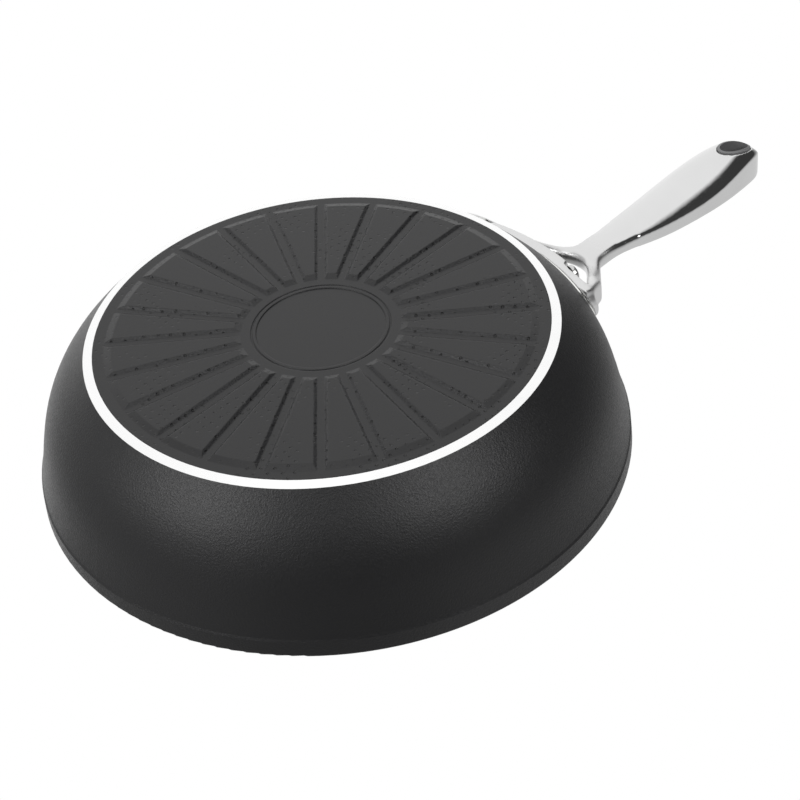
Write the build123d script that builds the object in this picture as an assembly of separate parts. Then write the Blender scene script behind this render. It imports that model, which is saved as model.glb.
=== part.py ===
from build123d import *
import math
import os

# Frying pan, standing on its base. Millimetres. Z is up, the base pads rest on Z = 0,
# the pan's axis is the Z axis and the handle points along +X. The part is symmetric about
# the XZ plane, apart from the base pads, which are turned a few degrees against the handle.

# Base
PAD_HEIGHT = 1.2
PAD_COUNT = 24
PAD_TURN = 2.8
PAD_FOOT_IN, PAD_FOOT_OUT = 39.4, 106.9
PAD_TOP_IN, PAD_TOP_OUT = 42.8, 103.0
CHANNEL_FOOT, CHANNEL_TOP = 3.4, 6.8
PLATE_R = 112.5
PLATE_THICK = 1.2
RECESS_R = 32.0
RECESS_DEPTH = 0.4
GROOVE_R, GROOVE_WIDE, GROOVE_DEEP = 34.2, 0.9, 0.3
SPREADER_R = 117.2
SPREADER_THICK = 4.0
RING_DROP = 1.1

# Bowl
RIM_R = 150.0
RIM_Z = 76.0
RIM_ROUND = 1.4
BAND_Z = 65.6
BAND_STEP = 1.2
BAND_INSET = 0.35
FLOOR_THICK = 3.0
LINING_THICK = 0.3
WALL_THICK = 3.0

# Strap of the handle and the shim behind it
SHIM_THICK = 0.8
STRAP_HALF_WIDE = 57.0
STRAP_LOW, STRAP_HIGH = 25.2, 51.0
STRAP_R_LOW, STRAP_R_HIGH = 144.9, 149.0
STRAP_CORNER_LOW, STRAP_CORNER_HIGH = 9.0, 16.0
STRAP_ROUND = 1.4
SHIM_EDGE = 0.7

# Rivets
RIVET_ANGLE = 13.5
RIVET_Z = 30.0
SHANK_R = 2.5
HOLE_R = 2.6
HEAD_R, HEAD_TALL = 4.6, 3.2
INNER_HEAD_R, INNER_HEAD_TALL = 6.0, 1.5
HEAD_STANDS = 0.7
SEAT_R = 5.8
SEAT_Z = 4.0
EAR_LONG = 25.0

# Fork arms: both edges of an arm run at 45 degrees in plan, X + |Y| = constant
ARM_OUTER, ARM_INNER = 194.1, 183.2
CROTCH_R = 16.4
NECK_R, ELBOW_R = 9.0, 10.0
ELBOW_Y = 48.0
FOOT_X = 118.0
NECK_X = 192.0
NECK_HALF = 9.3
ARM_ROUND = 2.6

# Grip
TIP_X = 323.0
TOPSIDE_R = 50.0
CREASE_ROUND = 0.5
TOP_ROUND = 2.2

# Sections of the uncut grip: X, underside Z, underside radius, topside Z, half width
GRIP_START = (178.0, 53.5, 26.0, 62.9, 12.0)
GRIP_SECTIONS = [
    GRIP_START,
    (200.0, 53.1, 26.0, 63.3, 13.0),
    (225.0, 52.4, 26.0, 65.6, 16.0),
    (250.0, 50.2, 26.0, 67.2, 18.5),
    (275.0, 46.9, 25.0, 67.6, 19.0),
    (290.0, 44.8, 22.0, 67.8, 18.0),
    (305.0, 45.1, 17.7, 68.4, 15.0),
    (317.0, 51.0, 15.0, 70.2, 11.0),
    (TIP_X + 1.0, 59.2, 13.0, 71.2, 8.0),
]

# Hanging eye
EYE_X = 305.0
EYE_LONG, EYE_WIDE = 23.4, 15.0
EYE_LIP = 1.6
LIP_PROUD = 0.4

FLOOR_Z = PAD_HEIGHT + PLATE_THICK + SPREADER_THICK + FLOOR_THICK
REACH = 100.0


# Bowl

def wall_curve(shift=0.0):
    """Outside of the wall, from the turned ring up to the rim band, moved out by shift."""
    foot, top = (SPREADER_R, PAD_HEIGHT + RING_DROP), (149.0, BAND_Z)
    points = [foot, (130.7, 17.0), (141.1, 35.0), (146.1, 53.0), top]
    return Spline(*[(r + shift, z) for r, z in points], tangents=[(0.68, 0.73), (0.26, 1.0)])


def inner_curve(inset=0.0):
    """Inside of the bowl, from the floor up to the rim, moved into the bowl by inset."""
    top = RIM_Z - RIM_ROUND
    points = [
        (110.0, FLOOR_Z + inset),
        (126.6 - 0.7 * inset, 18.0 + 0.7 * inset),
        (137.9 - 0.95 * inset, 35.6 + 0.3 * inset),
        (143.2 - inset, 53.0),
        (RIM_R - WALL_THICK - inset, top),
    ]
    return Spline(*points, tangents=[(1.0, 0.0), (0.05, 1.0)])


def around_axis(outline):
    """Turn an XZ outline about the pan's axis, with the seam on the side away from the handle."""
    return Rot(0, 0, 180) * revolve(Plane.XZ * make_face(outline), Axis.Z)


def bowl():
    """The pressed aluminium bowl with its pocket for the spreader disc."""
    wall, inside = wall_curve(), inner_curve()
    pocket_z = PAD_HEIGHT + PLATE_THICK + SPREADER_THICK
    rim_start = RIM_Z - RIM_ROUND
    outline = Curve() + [
        wall,
        Line(wall @ 1, (RIM_R - BAND_INSET, BAND_Z + BAND_STEP)),
        Line((RIM_R - BAND_INSET, BAND_Z + BAND_STEP), (RIM_R, rim_start)),
        ThreePointArc((RIM_R, rim_start), (RIM_R - WALL_THICK / 2, RIM_Z), (RIM_R - WALL_THICK, rim_start)),
        inside,
        Line(inside @ 0, (0, FLOOR_Z)),
        Line((0, FLOOR_Z), (0, pocket_z)),
        Line((0, pocket_z), (SPREADER_R, pocket_z)),
        Line((SPREADER_R, pocket_z), wall @ 0),
    ]
    return around_axis(outline)


def lining():
    """The nonstick skin on the floor and the inside of the wall."""
    under, top = inner_curve(), inner_curve(LINING_THICK)
    outline = Curve() + [
        under,
        Line(under @ 1, top @ 1),
        top,
        Line(top @ 0, (0, FLOOR_Z + LINING_THICK)),
        Line((0, FLOOR_Z + LINING_THICK), (0, FLOOR_Z)),
        Line((0, FLOOR_Z), under @ 0),
    ]
    return around_axis(outline)


# Base

def spreader():
    """Heat spreader disc: a shallow seat for the steel plate inside a turned, slightly coned edge."""
    seat_z = PAD_HEIGHT + PLATE_THICK
    top_z = seat_z + SPREADER_THICK
    outline = Polyline(
        (0, seat_z), (PLATE_R, seat_z), (PLATE_R, PAD_HEIGHT),
        (SPREADER_R, PAD_HEIGHT + RING_DROP), (SPREADER_R, top_z), (0, top_z), close=True,
    )
    return around_axis(outline)


def pad_face(r_in, r_out, channel, z):
    """Outline of one wedge pad at height z: parallel-sided channels, round inner and outer ends."""
    half_pitch = math.radians(180 / PAD_COUNT)

    def corner(radius, side):
        turn = half_pitch - math.asin(channel / 2 / radius)
        return radius * math.cos(turn), side * radius * math.sin(turn)

    outline = Curve() + [
        Line(corner(r_in, -1), corner(r_out, -1)),
        ThreePointArc(corner(r_out, -1), (r_out, 0), corner(r_out, 1)),
        Line(corner(r_out, 1), corner(r_in, 1)),
        ThreePointArc(corner(r_in, 1), (r_in, 0), corner(r_in, -1)),
    ]
    return Plane.XY.offset(z) * make_face(outline)


def induction_plate():
    """Steel base plate with drafted wedge pads, a centre recess and a groove round it."""
    plate = Cylinder(PLATE_R, PLATE_THICK, align=(Align.CENTER, Align.CENTER, Align.MIN))
    plate = Pos(0, 0, PAD_HEIGHT) * plate
    foot = pad_face(PAD_FOOT_IN, PAD_FOOT_OUT, CHANNEL_FOOT, PAD_HEIGHT)
    top = pad_face(PAD_TOP_IN, PAD_TOP_OUT, CHANNEL_TOP, 0)
    pad = loft([foot, top], ruled=True)
    plate += [Rot(0, 0, PAD_TURN + i * 360 / PAD_COUNT) * pad for i in range(PAD_COUNT)]
    recess = Cylinder(RECESS_R, RECESS_DEPTH, align=(Align.CENTER, Align.CENTER, Align.MIN))
    ring = Rectangle(GROOVE_WIDE, 2 * GROOVE_DEEP)
    groove = revolve(Plane.XZ * (Pos(GROOVE_R, PAD_HEIGHT) * ring), Axis.Z)
    return plate - Pos(0, 0, PAD_HEIGHT) * recess - groove


# Rivets

def wall_slope_at(z):
    """Radius of the outside of the wall at height z and the lean of its outward normal, in degrees."""
    wall = wall_curve()
    low, high = 0.0, 1.0
    for _ in range(30):
        middle = (low + high) / 2
        low, high = (middle, high) if (wall @ middle).Y < z else (low, middle)
    along = wall % low
    return (wall @ low).X, math.degrees(math.atan2(along.X, along.Y))


def front_lean():
    """Lean of the strap's front, and of the rivets that stand square to it, in degrees."""
    return math.degrees(math.atan2(STRAP_R_HIGH - STRAP_R_LOW, STRAP_HIGH - STRAP_LOW))


def both_sides(radius, z, lean):
    """Planes at both rivets, Z pointing out of the pan and leaning down by lean degrees."""
    places = [Rot(0, 0, side * RIVET_ANGLE) * Pos(radius, 0, z) for side in (-1, 1)]
    return [Plane(place * Rot(0, 90 + lean, 0)) for place in places]


def rivet_frames():
    """Planes on the outside of the wall, Z out along the rivets."""
    return both_sides(wall_slope_at(RIVET_Z)[0], RIVET_Z, front_lean())


def button_frames():
    """Planes at the inner ends of the shanks, Z along the wall's own normal."""
    radius, lean = wall_slope_at(RIVET_Z)
    depth, tilt = WALL_THICK + HEAD_STANDS, math.radians(front_lean())
    return both_sides(radius - depth * math.cos(tilt), RIVET_Z + depth * math.sin(tilt), lean)


def shank_and_dome():
    """Shank about Z through Z = 0 with its domed outer head."""
    inner_end = -WALL_THICK - HEAD_STANDS - INNER_HEAD_TALL / 2
    dome = Spline(
        (HEAD_R, SEAT_Z + HEAD_TALL * 0.3),
        (HEAD_R * 0.74, SEAT_Z + HEAD_TALL * 0.84),
        (0, SEAT_Z + HEAD_TALL),
        tangents=[(0, 1), (-1, 0)],
    )
    foot = Polyline((0, inner_end), (SHANK_R, inner_end), (SHANK_R, SEAT_Z), (HEAD_R, SEAT_Z), dome @ 0)
    return revolve(Plane.XZ * make_face(Curve() + [foot, dome, Line(dome @ 1, (0, inner_end))]), Axis.Z)


def inner_button():
    """Low inner head hanging down from Z = 0."""
    curve = Spline(
        (INNER_HEAD_R * 0.45, -INNER_HEAD_TALL),
        (INNER_HEAD_R * 0.85, -INNER_HEAD_TALL * 0.68),
        (INNER_HEAD_R, 0),
        tangents=[(1, 0), (0.2, 1)],
    )
    rest = Polyline(curve @ 1, (0, 0), (0, -INNER_HEAD_TALL), curve @ 0)
    return revolve(Plane.XZ * make_face(Curve() + [curve, rest]), Axis.Z)


def rivet_pair(wall, skin):
    """Both rivets, their inner heads cut to the curve of the lining they are set on."""
    rivets = []
    for plane, button_plane in zip(rivet_frames(), button_frames()):
        cut = plane * shank_and_dome() + button_plane * inner_button() - wall - skin
        rivets.append(cut.solids().sort_by(SortBy.VOLUME)[-1])
    return Compound(children=rivets)


def rivet_holes():
    """Cutters for the shanks."""
    drill = Cylinder(HOLE_R, 40)
    return [plane * drill for plane in rivet_frames()]


def seat_cutters():
    """Spot faces for the outer heads, run out over the strap's ears, with the shank holes."""
    low = (Align.CENTER, Align.CENTER, Align.MIN)
    cutters = []
    for side, plane in zip((-1, 1), rivet_frames()):
        spot = Cylinder(SEAT_R, 20, align=low)
        down = Box(20, 2 * SEAT_R, 20, align=(Align.MIN, Align.CENTER, Align.MIN))
        ear = Box(SEAT_R + 20, EAR_LONG, 20, align=(Align.MIN, Align.MIN, Align.MIN))
        ear = Pos(-SEAT_R, 0 if side > 0 else -EAR_LONG, 0) * ear
        cutters.append(plane * (Pos(0, 0, SEAT_Z) * (spot + down + ear) + Cylinder(HOLE_R, 20)))
    return cutters


# Handle

def strap_mask(margin=0.0):
    """Front view of the strap, long and level below with big lower corners, as a thick block."""
    half, low, high = STRAP_HALF_WIDE + margin, STRAP_LOW - margin, STRAP_HIGH + margin
    front = Polyline((-half, low), (half, low), (half, high), (-half, high), close=True)
    face = make_face(front)
    lower = face.vertices().filter_by(lambda v: v.Y < (low + high) / 2)
    face = fillet(lower, STRAP_CORNER_LOW + margin)
    upper = face.vertices().filter_by(lambda v: v.Y > high - 0.01)
    face = fillet(upper, STRAP_CORNER_HIGH + margin)
    return extrude(Plane.YZ * face, 2 * REACH)


def strap():
    """Curved strap on the wall: its back follows the wall, its front is a slight cone."""
    back = wall_curve(SHIM_THICK)
    low, high = STRAP_LOW - 4, STRAP_HIGH + 4
    lean = (STRAP_R_HIGH - STRAP_R_LOW) / (STRAP_HIGH - STRAP_LOW)
    front = Polyline(
        (110, low), (STRAP_R_LOW - 4 * lean, low), (STRAP_R_HIGH + 4 * lean, high), (110, high), close=True,
    )
    ring = around_axis(front) & strap_mask()
    edges = ring.edges().filter_by(lambda e: e.center().X > 100 and e.length > 6)
    ring = soften(ring, outer_edges(edges), STRAP_ROUND)
    return ring - keep_out(back)


def outer_edges(edges):
    """Those edges that lie on the strap's front cone."""
    lean = (STRAP_R_HIGH - STRAP_R_LOW) / (STRAP_HIGH - STRAP_LOW)

    def on_front(edge):
        for part in (0.15, 0.5, 0.85):
            point = edge @ part
            radius = math.hypot(point.X, point.Y)
            if abs(radius - STRAP_R_LOW - lean * (point.Z - STRAP_LOW)) > 0.05:
                return False
        return True

    return [edge for edge in edges if on_front(edge)]


def keep_out(back):
    """Everything inside a wall curve, as one solid of revolution."""
    outline = Curve() + [
        back,
        Line(back @ 1, (0, BAND_Z)),
        Line((0, BAND_Z), (0, PAD_HEIGHT + RING_DROP)),
        Line((0, PAD_HEIGHT + RING_DROP), back @ 0),
    ]
    return around_axis(outline)


def shim():
    """Thin sheet between the strap and the wall, a little larger than the strap."""
    inside, outside = wall_curve(), wall_curve(SHIM_THICK)
    outline = Curve() + [inside, Line(inside @ 1, outside @ 1), outside, Line(outside @ 0, inside @ 0)]
    return around_axis(outline) & strap_mask(SHIM_EDGE)


def fork_plan():
    """Plan of the two arms and their joint, from the neck to inside the wall."""
    outer = [(NECK_X + 6, NECK_HALF), (ARM_OUTER - NECK_HALF, NECK_HALF), (ARM_OUTER - ELBOW_Y, ELBOW_Y),
             (134.5, 54.5), (FOOT_X, 55.5)]
    inner = [(FOOT_X, ELBOW_Y), (ARM_INNER - ELBOW_Y, ELBOW_Y)]
    half = outer + inner
    face = make_face(Polyline(*half, (ARM_INNER, 0), *[(x, -y) for x, y in reversed(half)], close=True))
    for (x, y), radius in (((ARM_INNER, 0), CROTCH_R), (outer[1], NECK_R), (outer[2], ELBOW_R)):
        corners = face.vertices().filter_by(lambda v: abs(v.X - x) < 0.01 and abs(abs(v.Y) - y) < 0.01)
        face = fillet(corners, radius)
    return face


def fork():
    """Arms: plan outline cut by a side view that drops from the grip to the strap."""
    below = Spline((128, 24.5), (146, 31.2), (161, 44.5), (176, 54.0), (NECK_X + 8, 53.4),
                   tangents=[(1, 0.2), (1, 0)])
    above = Spline((NECK_X + 8, 62.6), (178, 62.9), (162, 57.0), (146, 46.5), (128, 41.5),
                   tangents=[(-1, 0), (-1, -0.1)])
    side = Curve() + [below, Line(below @ 1, above @ 0), above, Line(above @ 1, below @ 0)]
    block = extrude(Plane.XZ * make_face(side), REACH, both=True)
    arms = extrude(fork_plan(), REACH) & block
    lengthwise = arms.edges().filter_by(lambda e: abs(e.tangent_at(0.5).Z) < 0.95 and e.length > 8)
    lengthwise = [e for e in lengthwise if 120 < e.center().X < NECK_X + 3]
    return soften(arms, lengthwise, ARM_ROUND)


def soften(solid, edges, radius):
    """Round the edges, with a smaller radius where the full one does not fit."""
    for factor in (1.0, 0.8, 0.6, 0.4):
        try:
            return fillet(edges, radius * factor)
        except Exception:
            continue
    print("edges left sharp", len(edges))
    return solid


def grip_section(x, low, underside_r, top, half):
    """Cross-section of the uncut grip: two arcs closed by short sides."""
    low_edge = low + underside_r - math.sqrt(underside_r**2 - half**2)
    top_edge = top - TOPSIDE_R + math.sqrt(TOPSIDE_R**2 - half**2)
    outline = Curve() + [
        ThreePointArc((-half, low_edge), (0, low), (half, low_edge)),
        Line((half, low_edge), (half, top_edge)),
        ThreePointArc((half, top_edge), (0, top), (-half, top_edge)),
        Line((-half, top_edge), (-half, low_edge)),
    ]
    return Plane.YZ.offset(x) * make_face(outline)


def grip_plan():
    """Plan of the grip: slim at the neck, widest near the eye, round at the end."""
    start_x = GRIP_START[0]
    side = Spline((start_x, NECK_HALF), (NECK_X, NECK_HALF), (222, 12.7), (250, 16.0), (273, 17.0),
                  (290, 15.6), (305, 12.7), (316, 8.4), (321.3, 4.4), (TIP_X, 0), tangents=[(1, 0), (0, -1)])
    start = Line((start_x, NECK_HALF), (start_x, -NECK_HALF))
    return make_face(Curve() + [side, mirror(side, Plane.XZ), start])


def grip_blank():
    """Loft of the uncut sections, run 1 mm past the tip."""
    return loft([grip_section(*section) for section in GRIP_SECTIONS])


def grip():
    """Grip: the arched blank trimmed by the plan, with a crisp lower crease and soft top edges."""
    body = grip_blank() & extrude(grip_plan(), REACH)
    body = soften(body, body.edges().filter_by(lambda e: e.length > 100).sort_by(Axis.Z)[-1:], TOP_ROUND)
    return soften(body, body.edges().filter_by(lambda e: e.length > 100).sort_by(Axis.Z)[:1], CREASE_ROUND)


def eye_cutter(shrink=0.0):
    """Upright oval through the end of the grip."""
    long, wide = EYE_LONG - 2 * shrink, EYE_WIDE - 2 * shrink
    return Pos(EYE_X, 0, 30) * extrude(Ellipse(long / 2, wide / 2), 60)


def handle():
    """The cast handle, with spot-faced rivet seats that run out through the strap's lower edge."""
    band = strap()
    for cutter in seat_cutters():
        band -= cutter
    arms = fork() - keep_out(wall_curve(SHIM_THICK))
    return band + arms + (grip() - eye_cutter())


def eye_liner(blank):
    """Oval liner in the hanging eye, its lips a little proud of the steel."""
    liner = (Pos(0, 0, LIP_PROUD) * blank) + (Pos(0, 0, -LIP_PROUD) * blank)
    return (liner & eye_cutter()) - eye_cutter(EYE_LIP)


def drilled(solid):
    """The solid with both rivet holes through it."""
    for hole in rivet_holes():
        solid -= hole
    return solid


def main():
    pieces = {
        "pan_body": drilled(bowl()),
        "nonstick_lining": drilled(lining()),
        "heat_spreader_disc": spreader(),
        "induction_base_plate": induction_plate(),
        "handle_casting": handle(),
        "handle_shim": drilled(shim()),
        "hanging_eye_liner": eye_liner(grip_blank()),
    }
    pieces["handle_rivets"] = rivet_pair(pieces["pan_body"], pieces["nonstick_lining"])
    for name, piece in pieces.items():
        export_step(piece, f"parts/{name}.step")
        print(name, "solids", len(piece.solids()), "volume", round(piece.volume))


os.makedirs("parts", exist_ok=True)
main()
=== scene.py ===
"""Looks, floor, lights and camera for a frying pan with a padded base and a forked cast handle."""

import math

import bmesh
import bpy
from mathutils import Euler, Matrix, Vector


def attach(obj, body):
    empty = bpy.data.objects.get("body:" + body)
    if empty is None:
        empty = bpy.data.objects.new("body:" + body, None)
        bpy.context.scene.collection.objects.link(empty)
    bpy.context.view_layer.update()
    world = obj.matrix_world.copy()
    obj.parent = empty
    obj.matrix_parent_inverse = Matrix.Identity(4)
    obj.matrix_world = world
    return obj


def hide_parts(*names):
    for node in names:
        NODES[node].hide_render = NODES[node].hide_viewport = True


bl_info = {
    "name": "Frying Pan Looks",
    "version": (1, 0, 0),
    "blender": (4, 5, 0),
    "location": "3D View > Sidebar > Frying Pan",
    "description": "Finishes, floor, lights and camera for a riveted frying pan",
    "category": "Object",
}

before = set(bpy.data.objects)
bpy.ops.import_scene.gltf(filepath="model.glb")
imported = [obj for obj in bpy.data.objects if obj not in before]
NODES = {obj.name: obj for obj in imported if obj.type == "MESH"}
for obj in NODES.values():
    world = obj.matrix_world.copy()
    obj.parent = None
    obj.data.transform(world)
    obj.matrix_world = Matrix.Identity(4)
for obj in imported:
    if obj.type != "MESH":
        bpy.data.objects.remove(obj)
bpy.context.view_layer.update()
MM = 0.001

# Handle: where each arm leaves the grip, how far the neck's smoothing reaches, the fork's end.
NECK_X, NECK_Y, NECK_REACH = 194 * MM, 10 * MM, 20 * MM
FORK_END = 205 * MM
# Smoothing passes over the whole casting, then over the fork and strap, then over the neck.
ALL_PASSES, FORK_PASSES, NECK_PASSES = 9, 10, 18
WELD_DISTANCE = 0.002 * MM
# Roughness that the fork and strap have beyond the grip's, and half the length of the change.
SATIN_FORK, SATIN_BLEND = 0.26, 8 * MM

# Base plate: cosines of the level faces and the slopes, and the radii where the pits begin.
LEVEL_FACE, SLOPE_FACE = -0.97, -0.9
PITS_FROM, PITS_FULL = 42 * MM, 46 * MM

# Unit vector towards the dim side of the room, as the pan sees it.
DIM_SIDE = (0.409, 0.840, 0.356)
# Half widths of the soft edges: backdrop to dim side, backdrop to table, and the horizon.
SKY_EDGE, TABLE_EDGE, HORIZON_EDGE = 0.08, 0.15, 0.03
# The table brightens between two heights of direction, from a share of its full brightness.
TABLE_LOW, TABLE_HIGH, TABLE_SHARE = 0.05, 0.5, 0.25
# Light from the left, -X, is a share of the rest, reached at this X of direction.
LEFT_AT, LEFT_SHARE = -0.3, 0.42
# Soft boxes: azimuth and elevation in degrees, then width and height in metres.
LEFT_BOX = (190, -36, 1.2, 1.0)
RIGHT_BOX = (80, -38, 1.1, 1.0)
TOP_BOX = (170, -76, 1.3, 1.3)
BOX_DISTANCE = 2.0
SENSOR_WIDTH = 36.0
NEAR_CLIP, FAR_CLIP = 0.05, 50.0


def hex_colour(code):
    """Linear RGB of an sRGB hex value."""
    channels = [int(code[i:i + 2], 16) / 255 for i in (1, 3, 5)]
    return [c / 12.92 if c <= 0.04045 else ((c + 0.055) / 1.055) ** 2.4 for c in channels]


def colour_property(name, code, description):
    """Colour setting, given as an sRGB hex value."""
    return bpy.props.FloatVectorProperty(
        name=name, description=description, subtype="COLOR", size=3, min=0, max=1,
        default=hex_colour(code)
    )


def length_property(name, metres, description):
    """Length setting in metres."""
    return bpy.props.FloatProperty(
        name=name, description=description, unit="LENGTH", subtype="DISTANCE", min=0, precision=5,
        default=metres
    )


def factor_property(name, value, description):
    """Setting between 0 and 1."""
    return bpy.props.FloatProperty(
        name=name, description=description, subtype="FACTOR", min=0, max=1, default=value
    )


def light_property(name, value, description):
    """Brightness setting."""
    return bpy.props.FloatProperty(
        name=name, description=description, min=0, soft_max=4, default=value
    )


class PanFinishes(bpy.types.PropertyGroup):
    """Colours and grain sizes of the pan's finishes."""

    coating: colour_property("Outside coating", "#1e1e1f", "Textured coating outside the bowl")
    lining: colour_property("Lining", "#1d1d1e", "Nonstick coating inside the bowl")
    base: colour_property("Base coating", "#171718", "Coating on the pressed base plate")
    aluminium: colour_property("Turned aluminium", "#fafafa", "Bright ring round the base")
    cast_steel: colour_property("Handle", "#dadada", "Polished cast steel")
    sheet_steel: colour_property("Shim", "#f0f0ee", "Bright rolled sheet behind the strap")
    rivet_steel: colour_property("Rivets", "#cdcdcc", "Headed steel rivets")
    liner: colour_property("Eye liner", "#6e6e6f", "Moulded liner of the hanging eye")
    grain: length_property("Coating grain", 1.0 * MM, "Size of the coating's sand-like grain")
    tool_mark: length_property("Tool mark pitch", 0.45 * MM, "Distance between turning marks")
    pit_pitch: length_property("Pit pitch", 4.6 * MM, "Distance between the base plate's pits")
    coating_roughness: factor_property("Coating roughness", 0.42, "Outside coating")
    polish_roughness: factor_property("Handle roughness", 0.08, "Roughness of the polished handle")
    flow: length_property("Casting flow", 0.6 * MM, "Voxel at which its joints flow together")


class PanStage(bpy.types.PropertyGroup):
    """Floor, light and camera."""

    floor_size: length_property("Floor size", 6.0, "Side of the square floor")
    floor_drop: length_property("Floor drop", 0.4 * MM, "Gap between the floor and the pads")
    floor: colour_property("Floor colour", "#eeedeb", "Matte floor")
    backdrop: light_property("Backdrop", 1.06, "Brightness of the white cove behind the pan")
    table: light_property("Table", 0.72, "Brightness of the table on the camera's side")
    room: light_property("Room", 0.05, "Brightness of the dim room behind the camera")
    left_box: light_property("Left soft box", 5.0, "Soft box on the camera's left")
    right_box: light_property("Right soft box", 5.0, "Soft box on the camera's right")
    top_box: light_property("Top soft box", 1.0, "Soft box on the side of the base")
    lens: bpy.props.FloatProperty(
        name="Lens", description="Focal length in mm on a 36 mm sensor", default=92.925
    )
    camera_place: bpy.props.FloatVectorProperty(
        name="Camera place", description="Where the photograph was taken from",
        subtype="TRANSLATION", unit="LENGTH", size=3, default=(-0.47, 0.6575, -0.6037)
    )
    camera_turn: bpy.props.FloatVectorProperty(
        name="Camera turn", description="Camera rotation", subtype="EULER", unit="ROTATION", size=3,
        default=[math.radians(a) for a in (-129.2704, -4.89136, 41.988)]
    )


def add(tree, kind, inputs=None, **settings):
    """Add a node, apply its settings, then link or set its inputs."""
    made = tree.nodes.new(kind)
    for name, value in settings.items():
        setattr(made, name, value)
    for name, value in (inputs or {}).items():
        if isinstance(value, bpy.types.NodeSocket):
            tree.links.new(value, made.inputs[name])
        else:
            made.inputs[name].default_value = value
    return made


def new_material(name):
    """An empty material, its node tree and its object coordinates."""
    material = bpy.data.materials.new(name)
    material.use_nodes = True
    tree = material.node_tree
    tree.nodes.clear()
    place = add(tree, "ShaderNodeTexCoord").outputs["Object"]
    return material, tree, place


def close(tree, shader):
    """Link a shader to the surface output."""
    add(tree, "ShaderNodeOutputMaterial", {"Surface": shader.outputs["BSDF"]})


def rgba(colour, gain=1.0):
    """Colour with alpha, made lighter or darker by a gain."""
    return (*[min(1.0, c * gain) for c in colour], 1.0)


def two_tone(tree, factor, dark, light):
    """Colour that runs from dark to light with a factor."""
    ramp = add(tree, "ShaderNodeValToRGB", {"Fac": factor})
    ramp.color_ramp.elements[0].color, ramp.color_ramp.elements[1].color = dark, light
    return ramp


def spread(tree, value, low, high, to_low, to_high):
    """Map a value from one range to another, clamped."""
    inputs = {
        "Value": value, "From Min": low, "From Max": high, "To Min": to_low, "To Max": to_high,
    }
    return add(tree, "ShaderNodeMapRange", inputs).outputs["Result"]


def noise(tree, place, size, detail=2.0, rough=0.5):
    """Noise whose blobs are about size across, in metres."""
    inputs = {"Vector": place, "Scale": 1 / size, "Detail": detail, "Roughness": rough}
    return add(tree, "ShaderNodeTexNoise", inputs).outputs["Fac"]


def combine(tree, operation, first, second):
    """Two values joined by a maths operation."""
    return add(tree, "ShaderNodeMath", {0: first, 1: second}, operation=operation).outputs[0]


def bumped(tree, height, strength, distance, over=None):
    """Normal that follows a height, on top of another normal if one is given."""
    inputs = {"Height": height, "Strength": strength, "Distance": distance}
    if over is not None:
        inputs["Normal"] = over
    return add(tree, "ShaderNodeBump", inputs).outputs["Normal"]


def radius_of(tree, place):
    """Distance from the pan's axis."""
    flat = add(tree, "ShaderNodeVectorMath", {0: place, 1: (1, 1, 0)}, operation="MULTIPLY")
    length = add(tree, "ShaderNodeVectorMath", {0: flat.outputs[0]}, operation="LENGTH")
    return length.outputs["Value"]


def sprayed_coating(colour, grain, roughness):
    """PTFE enamel sprayed and cured on aluminium: sand-like, matte, with small sparks of light."""
    material, tree, place = new_material("sprayed_textured_coating")
    sand = noise(tree, place, grain, 3.0, 0.6)
    cloud = noise(tree, place, 40 * MM)
    tone = two_tone(tree, cloud, rgba(colour, 0.9), rgba(colour, 1.12))
    rough = spread(tree, sand, 0.35, 0.7, roughness + 0.06, roughness - 0.1)
    shader = add(tree, "ShaderNodeBsdfPrincipled", {
        "Base Color": tone.outputs["Color"], "Roughness": rough,
        "Normal": bumped(tree, sand, 1.0, 0.22 * MM),
        "IOR": 1.42, "Specular IOR Level": 0.5,
    })
    close(tree, shader)
    return material


def cured_lining(colour):
    """Nonstick enamel on a cooking surface: satin, with faint orange peel and a few pale flecks."""
    material, tree, place = new_material("cured_nonstick_lining")
    peel = noise(tree, place, 1.6 * MM)
    flecks = add(tree, "ShaderNodeTexVoronoi", {"Vector": place, "Scale": 1 / (2.6 * MM)})
    speck = spread(tree, flecks.outputs["Distance"], 0.05, 0.13, 1.0, 0.0)
    tone = two_tone(tree, speck, rgba(colour), rgba(colour, 3.2))
    shader = add(tree, "ShaderNodeBsdfPrincipled", {
        "Base Color": tone.outputs["Color"], "Roughness": spread(tree, peel, 0.3, 0.7, 0.26, 0.36),
        "Normal": bumped(tree, peel, 0.12, 0.1 * MM), "IOR": 1.45,
    })
    close(tree, shader)
    return material


def turned_aluminium(colour, pitch):
    """Aluminium faced on a lathe: bright, with fine rings that draw the highlight out."""
    material, tree, place = new_material("turned_aluminium_edge")
    turns = combine(tree, "MULTIPLY", radius_of(tree, place), 2 * math.pi / pitch)
    ridge = add(tree, "ShaderNodeMath", {0: turns}, operation="SINE").outputs[0]
    streak = noise(tree, place, 9 * MM, 4.0)
    tone = two_tone(tree, streak, rgba(colour, 0.94), rgba(colour, 1.0))
    shader = add(tree, "ShaderNodeBsdfPrincipled", {
        "Base Color": tone.outputs["Color"], "Metallic": 1.0,
        "Roughness": spread(tree, streak, 0.3, 0.7, 0.2, 0.32),
        "Normal": bumped(tree, ridge, 0.05, 0.02 * MM),
    })
    close(tree, shader)
    return material


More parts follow.
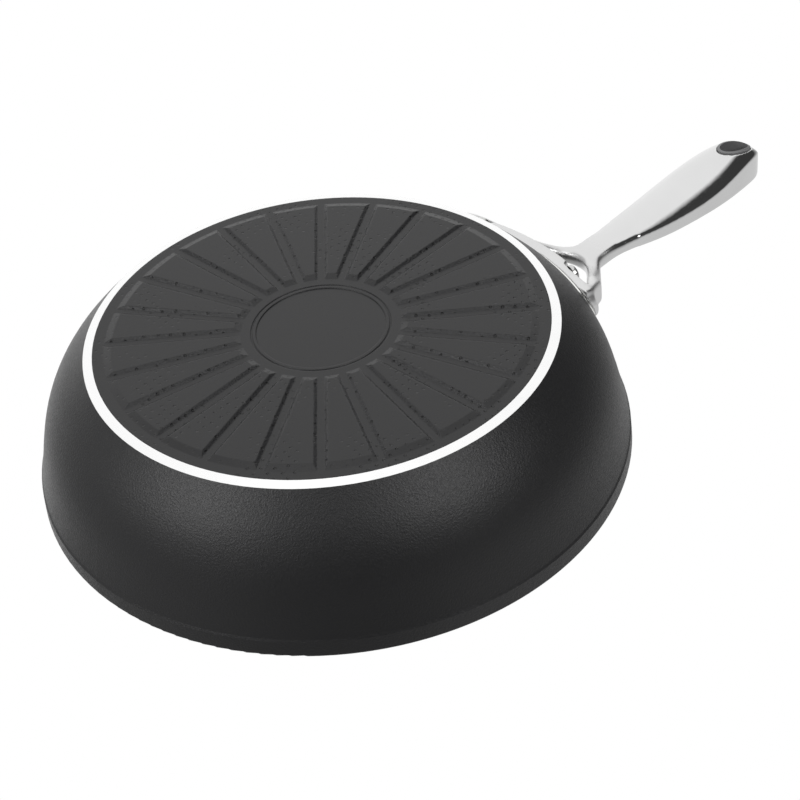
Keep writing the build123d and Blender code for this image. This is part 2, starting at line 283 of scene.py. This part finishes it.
def coated_pressed_steel(colour, grain, pitch):
    """Perforated steel pressed into the base and sprayed over: satin, pitted pads, sandy slopes;
    the pits carry painted shade and the slopes' grain carries painted glints.
    """
    material, tree, place = new_material("coated_pressed_steel")
    sand = noise(tree, place, grain * 0.8, 3.0, 0.6)
    face = add(tree, "ShaderNodeNewGeometry").outputs["True Normal"]
    level = add(tree, "ShaderNodeSeparateXYZ", {0: face}).outputs["Z"]
    slope = spread(tree, level, LEVEL_FACE, SLOPE_FACE, 0.0, 1.0)
    patch = spread(tree, noise(tree, place, 38 * MM), 0.5, 0.6, 0.0, 0.75)
    pressed = spread(tree, radius_of(tree, place), PITS_FROM, PITS_FULL, 0.0, 1.0)
    pitted = combine(tree, "MAXIMUM", slope, combine(tree, "MULTIPLY", patch, pressed))
    cells = add(tree, "ShaderNodeTexVoronoi", {
        "Vector": place, "Scale": 1 / pitch, "Randomness": 0.25,
    }, voronoi_dimensions="2D")
    pit = spread(tree, cells.outputs["Distance"], 0.1, 0.17, 1.0, 0.0)
    hole = combine(tree, "MULTIPLY", pit, pitted)
    rough_sand = spread(tree, slope, 0.0, 1.0, 0.1, 0.5)
    height = combine(tree, "SUBTRACT", combine(tree, "MULTIPLY", sand, rough_sand), hole)
    round_edge = add(tree, "ShaderNodeBevel", {"Radius": 0.9 * MM}, samples=4)
    skin = bumped(tree, height, 1.0, 0.45 * MM, over=round_edge.outputs["Normal"])
    # Painted glints: the sandy grain on the slopes is made lighter in colour, standing in for
    # sparkle from the lamps.
    grit = spread(tree, sand, 0.42, 0.68, 0.0, 1.0)
    shine = combine(tree, "MULTIPLY", grit, slope)
    tone = two_tone(tree, shine, rgba(colour), rgba(colour, 2.6))
    # Painted shade: the pits are made darker in colour, standing in for the shade that falls into
    # them; their dent in the bump is real.
    dark = add(tree, "ShaderNodeMix", {
        0: hole, 6: tone.outputs["Color"], 7: rgba(colour, 0.25),
    }, data_type="RGBA")
    shader = add(tree, "ShaderNodeBsdfPrincipled", {
        "Base Color": dark.outputs[2], "Roughness": spread(tree, sand, 0.35, 0.7, 0.36, 0.27),
        "Normal": skin, "IOR": 1.43,
    })
    close(tree, shader)
    return material


def polished_casting(colour, roughness):
    """Stainless casting, buffed: mirror-like and a little wavy, satin on the fork and strap."""
    material, tree, place = new_material("buffed_cast_stainless")
    wave = noise(tree, place, 18 * MM, 1.0)
    stretch = add(tree, "ShaderNodeMapping", {"Vector": place, "Scale": (0.05, 1.0, 1.0)})
    hair = noise(tree, stretch.outputs["Vector"], 0.5 * MM, 3.0)
    tone = two_tone(tree, wave, rgba(colour, 0.97), rgba(colour, 1.03))
    soft = bumped(tree, wave, 0.1, 0.6 * MM)
    along = add(tree, "ShaderNodeSeparateXYZ", {0: place}).outputs["X"]
    satin = spread(tree, along, NECK_X - SATIN_BLEND, NECK_X + SATIN_BLEND, SATIN_FORK, 0.0)
    buffed = spread(tree, hair, 0.3, 0.7, roughness - 0.03, roughness + 0.05)
    shader = add(tree, "ShaderNodeBsdfPrincipled", {
        "Base Color": tone.outputs["Color"], "Metallic": 1.0,
        "Roughness": combine(tree, "ADD", buffed, satin),
        "Normal": bumped(tree, hair, 0.03, 0.02 * MM, over=soft),
    })
    close(tree, shader)
    return material


def steel_finish(name, colour, low, high):
    """Rolled or headed steel: bright or satin, with a soft unevenness in its shine."""
    material, tree, place = new_material(name)
    uneven = noise(tree, place, 1.2 * MM, 3.0)
    tone = two_tone(tree, uneven, rgba(colour, 0.94), rgba(colour, 1.03))
    shader = add(tree, "ShaderNodeBsdfPrincipled", {
        "Base Color": tone.outputs["Color"], "Metallic": 1.0,
        "Roughness": spread(tree, uneven, 0.3, 0.7, low, high),
        "Normal": bumped(tree, uneven, 0.06, 0.05 * MM),
    })
    close(tree, shader)
    return material


def moulded_liner(colour):
    """Dark heat-proof nylon from a spark-eroded mould: fine matte grain."""
    material, tree, place = new_material("moulded_black_nylon")
    grain = noise(tree, place, 0.35 * MM, 2.0)
    tone = two_tone(tree, grain, rgba(colour, 0.85), rgba(colour, 1.15))
    shader = add(tree, "ShaderNodeBsdfPrincipled", {
        "Base Color": tone.outputs["Color"], "Roughness": spread(tree, grain, 0.3, 0.7, 0.42, 0.55),
        "Normal": bumped(tree, grain, 0.2, 0.04 * MM), "IOR": 1.53,
    })
    close(tree, shader)
    return material


def dress(name, material):
    """Give a CAD node its material."""
    slots = NODES[name].data.materials
    slots.clear()
    slots.append(material)


def smooth(skin, verts, passes):
    """Move vertices half way to the middle of their neighbours, several times."""
    for _ in range(passes):
        bmesh.ops.smooth_vert(
            skin, verts=verts, factor=0.5, use_axis_x=True, use_axis_y=True, use_axis_z=True
        )


def flowed_casting(node, voxel, material):
    """Casting remeshed and smoothed, so that its joints and edges flow as buffing leaves them."""
    shape = bmesh.new()
    shape.from_mesh(NODES[node].data)
    bmesh.ops.remove_doubles(shape, verts=shape.verts, dist=WELD_DISTANCE)
    mesh = bpy.data.meshes.new("cast_handle")
    shape.to_mesh(mesh)
    shape.free()
    piece = bpy.data.objects.new("cast_handle", mesh)
    bpy.context.scene.collection.objects.link(piece)
    remesh = piece.modifiers.new("flow", "REMESH")
    remesh.mode, remesh.voxel_size, remesh.use_smooth_shade = "VOXEL", voxel, True
    seen = piece.evaluated_get(bpy.context.evaluated_depsgraph_get())
    final = bpy.data.meshes.new_from_object(seen)
    piece.modifiers.clear()
    skin = bmesh.new()
    skin.from_mesh(final)
    neck = [
        v for v in skin.verts
        if math.hypot(v.co.x - NECK_X, abs(v.co.y) - NECK_Y) < NECK_REACH
    ]
    fork = [v for v in skin.verts if v.co.x < FORK_END]
    smooth(skin, skin.verts, ALL_PASSES)
    smooth(skin, fork, FORK_PASSES)
    smooth(skin, neck, NECK_PASSES)
    skin.to_mesh(final)
    skin.free()
    piece.data = final
    final.materials.clear()
    final.materials.append(material)
    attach(piece, "root")
    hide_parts(node)


class PAN_OT_body(bpy.types.Operator):
    """Finish the bowl's outside with its textured coating"""

    bl_idname = "pan.body"
    bl_label = "Pan body"

    def execute(self, context):
        f = context.scene.pan_finishes
        dress("pan_body", sprayed_coating(f.coating, f.grain, f.coating_roughness))
        return {"FINISHED"}


class PAN_OT_lining(bpy.types.Operator):
    """Finish the nonstick lining"""

    bl_idname = "pan.lining"
    bl_label = "Nonstick lining"

    def execute(self, context):
        dress("nonstick_lining", cured_lining(context.scene.pan_finishes.lining))
        return {"FINISHED"}


class PAN_OT_spreader(bpy.types.Operator):
    """Finish the heat spreader and its turned edge"""

    bl_idname = "pan.spreader"
    bl_label = "Heat spreader disc"

    def execute(self, context):
        f = context.scene.pan_finishes
        dress("heat_spreader_disc", turned_aluminium(f.aluminium, f.tool_mark))
        return {"FINISHED"}


class PAN_OT_base(bpy.types.Operator):
    """Finish the padded base plate"""

    bl_idname = "pan.base"
    bl_label = "Base plate"

    def execute(self, context):
        f = context.scene.pan_finishes
        dress("induction_base_plate", coated_pressed_steel(f.base, f.grain, f.pit_pitch))
        return {"FINISHED"}


class PAN_OT_handle(bpy.types.Operator):
    """Finish the handle casting, its shim, rivets and eye liner"""

    bl_idname = "pan.handle"
    bl_label = "Handle"

    def execute(self, context):
        f = context.scene.pan_finishes
        flowed_casting("handle_casting", f.flow, polished_casting(f.cast_steel, f.polish_roughness))
        dress("handle_shim", steel_finish("bright_rolled_steel", f.sheet_steel, 0.2, 0.3))
        dress("handle_rivets", steel_finish("headed_steel_rivet", f.rivet_steel, 0.18, 0.3))
        dress("hanging_eye_liner", moulded_liner(f.liner))
        return {"FINISHED"}


def floor_material(colour):
    """Matte paper sweep, seen only from above so that the pan can also be looked at from below."""
    material, tree, place = new_material("matte_paper_floor")
    fibre = noise(tree, place, 2 * MM, 3.0)
    tone = two_tone(tree, fibre, rgba(colour, 0.985), rgba(colour, 1.0))
    paper = add(tree, "ShaderNodeBsdfPrincipled", {
        "Base Color": tone.outputs["Color"], "Roughness": 0.9,
    })
    clear = add(tree, "ShaderNodeBsdfTransparent")
    back = add(tree, "ShaderNodeNewGeometry").outputs["Backfacing"]
    mixed = add(tree, "ShaderNodeMixShader", {0: back, 1: paper.outputs[0], 2: clear.outputs[0]})
    add(tree, "ShaderNodeOutputMaterial", {"Surface": mixed.outputs[0]})
    return material


def build_floor(size, drop, colour):
    """Square floor just under the pads, left out of the pan's light and reflections."""
    mesh = bpy.data.meshes.new("floor")
    sheet = bmesh.new()
    bmesh.ops.create_grid(sheet, x_segments=1, y_segments=1, size=size / 2)
    bmesh.ops.translate(sheet, verts=sheet.verts, vec=(0, 0, -drop))
    sheet.to_mesh(mesh)
    sheet.free()
    floor = bpy.data.objects.new("floor", mesh)
    bpy.context.scene.collection.objects.link(floor)
    floor.data.materials.append(floor_material(colour))
    floor.visible_diffuse = floor.visible_glossy = floor.visible_transmission = False
    floor.visible_shadow = False


def build_world(backdrop, table, room):
    """White cove: white to the camera, and to the pan a bright back, a table and a dim front."""
    world = bpy.data.worlds.new("white_cove")
    bpy.context.scene.world = world
    world.use_nodes = True
    tree = world.node_tree
    tree.nodes.clear()
    towards = add(tree, "ShaderNodeTexCoord").outputs["Generated"]
    axes = add(tree, "ShaderNodeSeparateXYZ", {0: towards}).outputs
    facing = add(tree, "ShaderNodeVectorMath", {0: towards, 1: DIM_SIDE}, operation="DOT_PRODUCT")
    front = facing.outputs["Value"]
    sky = spread(tree, front, -SKY_EDGE, SKY_EDGE, backdrop, room)
    glow = spread(tree, axes["Z"], TABLE_LOW, TABLE_HIGH, TABLE_SHARE * table, table)
    nearer = spread(tree, front, -TABLE_EDGE, TABLE_EDGE, 0.0, 1.0)
    ground = add(tree, "ShaderNodeMix", {0: nearer, 2: backdrop, 3: glow}).outputs[0]
    horizon = spread(tree, axes["Z"], -HORIZON_EDGE, HORIZON_EDGE, 0.0, 1.0)
    cove = add(tree, "ShaderNodeMix", {0: horizon, 2: sky, 3: ground}).outputs[0]
    falloff = spread(tree, axes["X"], LEFT_AT, 0.0, LEFT_SHARE, 1.0)
    strength = combine(tree, "MULTIPLY", cove, falloff)
    seen = add(tree, "ShaderNodeBackground", {"Color": (1, 1, 1, 1), "Strength": 1.0})
    light = add(tree, "ShaderNodeBackground", {"Color": (1, 1, 1, 1), "Strength": strength})
    camera_ray = add(tree, "ShaderNodeLightPath").outputs["Is Camera Ray"]
    mixed = add(tree, "ShaderNodeMixShader", {
        0: camera_ray, 1: light.outputs[0], 2: seen.outputs[0],
    })
    add(tree, "ShaderNodeOutputWorld", {"Surface": mixed.outputs[0]})


def soft_box(name, azimuth, elevation, width, height, brightness):
    """Rectangular light that faces the pan from an azimuth and elevation in degrees."""
    lamp = bpy.data.lights.new(name, "AREA")
    lamp.shape, lamp.size, lamp.size_y = "RECTANGLE", width, height
    lamp.energy = brightness * math.pi * width * height
    turn, rise = math.radians(azimuth), math.radians(elevation)
    box = bpy.data.objects.new(name, lamp)
    bpy.context.scene.collection.objects.link(box)
    level = math.cos(rise)
    towards = Vector((level * math.cos(turn), level * math.sin(turn), math.sin(rise)))
    box.location = BOX_DISTANCE * towards
    box.rotation_euler = box.location.to_track_quat("Z", "Y").to_euler()
    box.visible_camera = False


class PAN_OT_stage(bpy.types.Operator):
    """Set up the floor, the white room, the soft lights and the camera"""

    bl_idname = "pan.stage"
    bl_label = "Stage and camera"

    def execute(self, context):
        s = context.scene.pan_stage
        build_floor(s.floor_size, s.floor_drop, s.floor)
        build_world(s.backdrop, s.table, s.room)
        soft_box("left_soft_box", *LEFT_BOX, s.left_box)
        soft_box("right_soft_box", *RIGHT_BOX, s.right_box)
        soft_box("top_soft_box", *TOP_BOX, s.top_box)
        data = bpy.data.cameras.new("camera")
        camera = bpy.data.objects.new("camera", data)
        context.scene.collection.objects.link(camera)
        data.lens, data.sensor_width = s.lens, SENSOR_WIDTH
        data.clip_start, data.clip_end = NEAR_CLIP, FAR_CLIP
        camera.location = s.camera_place
        camera.rotation_euler = Euler(s.camera_turn)
        context.scene.camera = camera
        context.scene.view_settings.view_transform = "Standard"
        return {"FINISHED"}


class PAN_PT_looks(bpy.types.Panel):
    """Sidebar panel with the pan's finishes and stage"""

    bl_label = "Frying Pan"
    bl_idname = "PAN_PT_looks"
    bl_space_type = "VIEW_3D"
    bl_region_type = "UI"
    bl_category = "Frying Pan"

    def draw(self, context):
        for settings in (context.scene.pan_finishes, context.scene.pan_stage):
            for name in type(settings).__annotations__:
                self.layout.prop(settings, name)
        for operator in PIECES:
            self.layout.operator(operator.bl_idname)


PIECES = (PAN_OT_body, PAN_OT_lining, PAN_OT_spreader, PAN_OT_base, PAN_OT_handle, PAN_OT_stage)
CLASSES = (PanFinishes, PanStage, *PIECES, PAN_PT_looks)


def register():
    for each in CLASSES:
        bpy.utils.register_class(each)
    bpy.types.Scene.pan_finishes = bpy.props.PointerProperty(type=PanFinishes)
    bpy.types.Scene.pan_stage = bpy.props.PointerProperty(type=PanStage)


def unregister():
    del bpy.types.Scene.pan_stage
    del bpy.types.Scene.pan_finishes
    for each in reversed(CLASSES):
        bpy.utils.unregister_class(each)


def main():
    register()
    bpy.ops.pan.body()
    bpy.ops.pan.lining()
    bpy.ops.pan.spreader()
    bpy.ops.pan.base()
    bpy.ops.pan.handle()
    bpy.ops.pan.stage()


if __name__ == "__main__":
    main()
